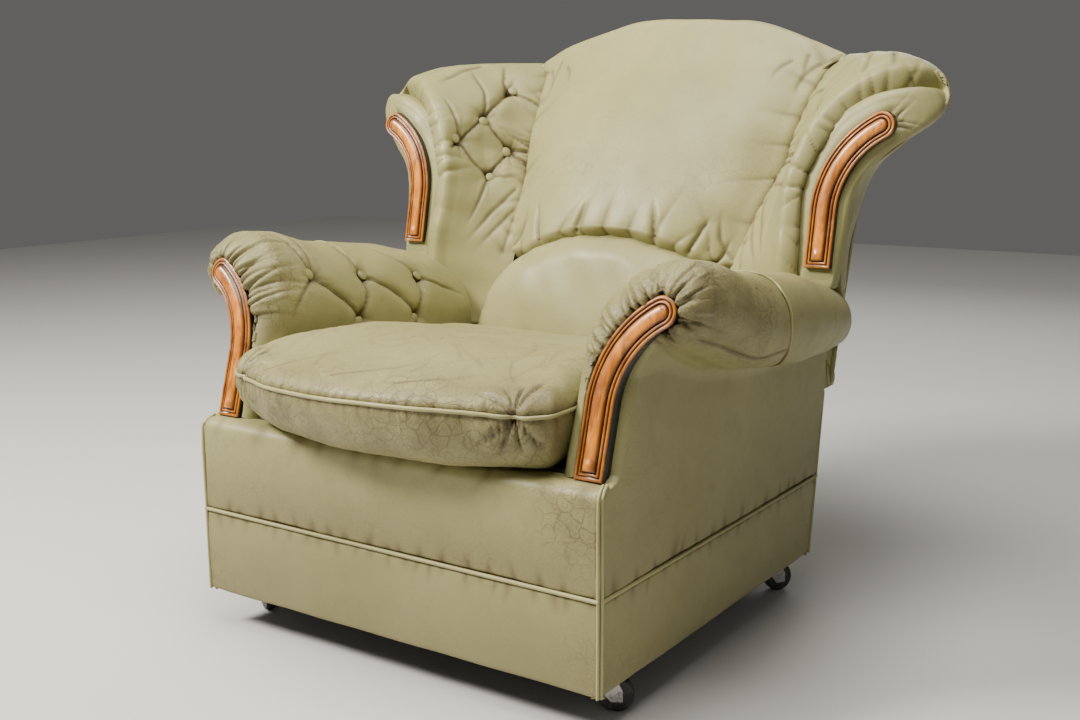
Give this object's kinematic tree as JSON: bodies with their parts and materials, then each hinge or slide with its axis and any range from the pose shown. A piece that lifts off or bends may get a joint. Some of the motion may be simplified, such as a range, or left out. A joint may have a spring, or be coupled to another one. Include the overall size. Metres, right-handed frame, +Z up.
{
  "type": "club chair",
  "caption": "Worn leather club chair with winged buttoned back, rolled arms, wood facings, loose seat cushion and swivel castors.",
  "frame": {"origin": "on the floor, below the centre of the bounding box", "axes": "+Z up, the chair faces -Y, +X is to the viewer's right when the viewer faces the chair"},
  "size_m": [1.148, 1.0316, 0.985],
  "materials": {
    "leather": "worn sage green leather, satin, creased, rubbed brown on the seat and arm fronts",
    "polished_wood": "honey brown varnish, dark in the grooves",
    "timber": "bare sawn timber and plywood",
    "black_cloth": "dull black cloth",
    "webbing": "rubberised webbing",
    "castor_steel": "dull pressed steel",
    "castor_tread": "black, matt"
  },
  "bodies": {
    "chair": {"seat_cushion": "leather", "front_border": "leather", "front_panel": "leather", "side_border_right": "leather", "side_border_left": "leather", "outside_arm_panel_right": "leather", "outside_arm_panel_left": "leather", "base_back_panel": "leather", "arm_pad_right": "leather", "arm_pad_left": "leather", "wing_pad_right": "leather", "wing_pad_left": "leather", "outside_wing_right": "leather", "outside_wing_left": "leather", "wing_border_right": "leather", "wing_border_left": "leather", "lumbar_pad": "leather", "back_pillow": "leather", "outside_back": "leather", "arm_facing_right": "polished_wood", "arm_facing_left": "polished_wood", "wing_facing_right": "polished_wood", "wing_facing_left": "polished_wood", "front_board": "timber", "side_board_right": "timber", "side_board_left": "timber", "back_board": "timber", "front_corner_block_right": "timber", "front_corner_block_left": "timber", "rear_corner_block_right": "timber", "rear_corner_block_left": "timber", "back_post_right": "timber", "back_post_left": "timber", "arm_stump_right": "timber", "arm_stump_left": "timber", "arm_rail_right": "timber", "arm_rail_left": "timber", "back_top_rail": "timber", "seat_deck": "black_cloth", "bottom_cover": "black_cloth", "seat_strap_1": "webbing", "seat_strap_2": "webbing", "seat_strap_3": "webbing", "seat_strap_4": "webbing", "castor_plate_front_right": "castor_steel", "castor_plate_front_left": "castor_steel", "castor_plate_rear_right": "castor_steel", "castor_plate_rear_left": "castor_steel"},
    "swivel_front_right": {"castor_fork_front_right": "castor_steel", "castor_axle_front_right": "castor_steel"},
    "roller_front_right": {"castor_wheel_front_right": "castor_tread"},
    "swivel_front_left": {"castor_fork_front_left": "castor_steel", "castor_axle_front_left": "castor_steel"},
    "roller_front_left": {"castor_wheel_front_left": "castor_tread"},
    "swivel_rear_right": {"castor_fork_rear_right": "castor_steel", "castor_axle_rear_right": "castor_steel"},
    "roller_rear_right": {"castor_wheel_rear_right": "castor_tread"},
    "swivel_rear_left": {"castor_fork_rear_left": "castor_steel", "castor_axle_rear_left": "castor_steel"},
    "roller_rear_left": {"castor_wheel_rear_left": "castor_tread"}
  },
  "joints": [
    {"name": "castor_swivel_front_right", "type": "hinge", "parent": "chair", "child": "swivel_front_right", "pos_m": [0.321, -0.3538, 0.052], "axis": [0, 0, 1], "continuous": true},
    {"name": "castor_roll_front_right", "type": "hinge", "parent": "swivel_front_right", "child": "roller_front_right", "pos_m": [0.33796, -0.3432, 0.024], "axis": [0.5299, -0.848, 0], "continuous": true},
    {"name": "castor_swivel_front_left", "type": "hinge", "parent": "chair", "child": "swivel_front_left", "pos_m": [-0.321, -0.3538, 0.052], "axis": [0, 0, 1], "continuous": true},
    {"name": "castor_roll_front_left", "type": "hinge", "parent": "swivel_front_left", "child": "roller_front_left", "pos_m": [-0.33832, -0.3438, 0.024], "axis": [0.5, 0.866, 0], "continuous": true},
    {"name": "castor_swivel_rear_right", "type": "hinge", "parent": "chair", "child": "swivel_rear_right", "pos_m": [0.321, 0.1902, 0.052], "axis": [0, 0, 1], "continuous": true},
    {"name": "castor_roll_rear_right", "type": "hinge", "parent": "swivel_rear_right", "child": "roller_rear_right", "pos_m": [0.3316, 0.20716, 0.024], "axis": [0.848, -0.5299, 0], "continuous": true},
    {"name": "castor_swivel_rear_left", "type": "hinge", "parent": "chair", "child": "swivel_rear_left", "pos_m": [-0.321, 0.1902, 0.052], "axis": [0, 0, 1], "continuous": true},
    {"name": "castor_roll_rear_left", "type": "hinge", "parent": "swivel_rear_left", "child": "roller_rear_left", "pos_m": [-0.331, 0.20752, 0.024], "axis": [0.866, 0.5, 0], "continuous": true}
  ]
}
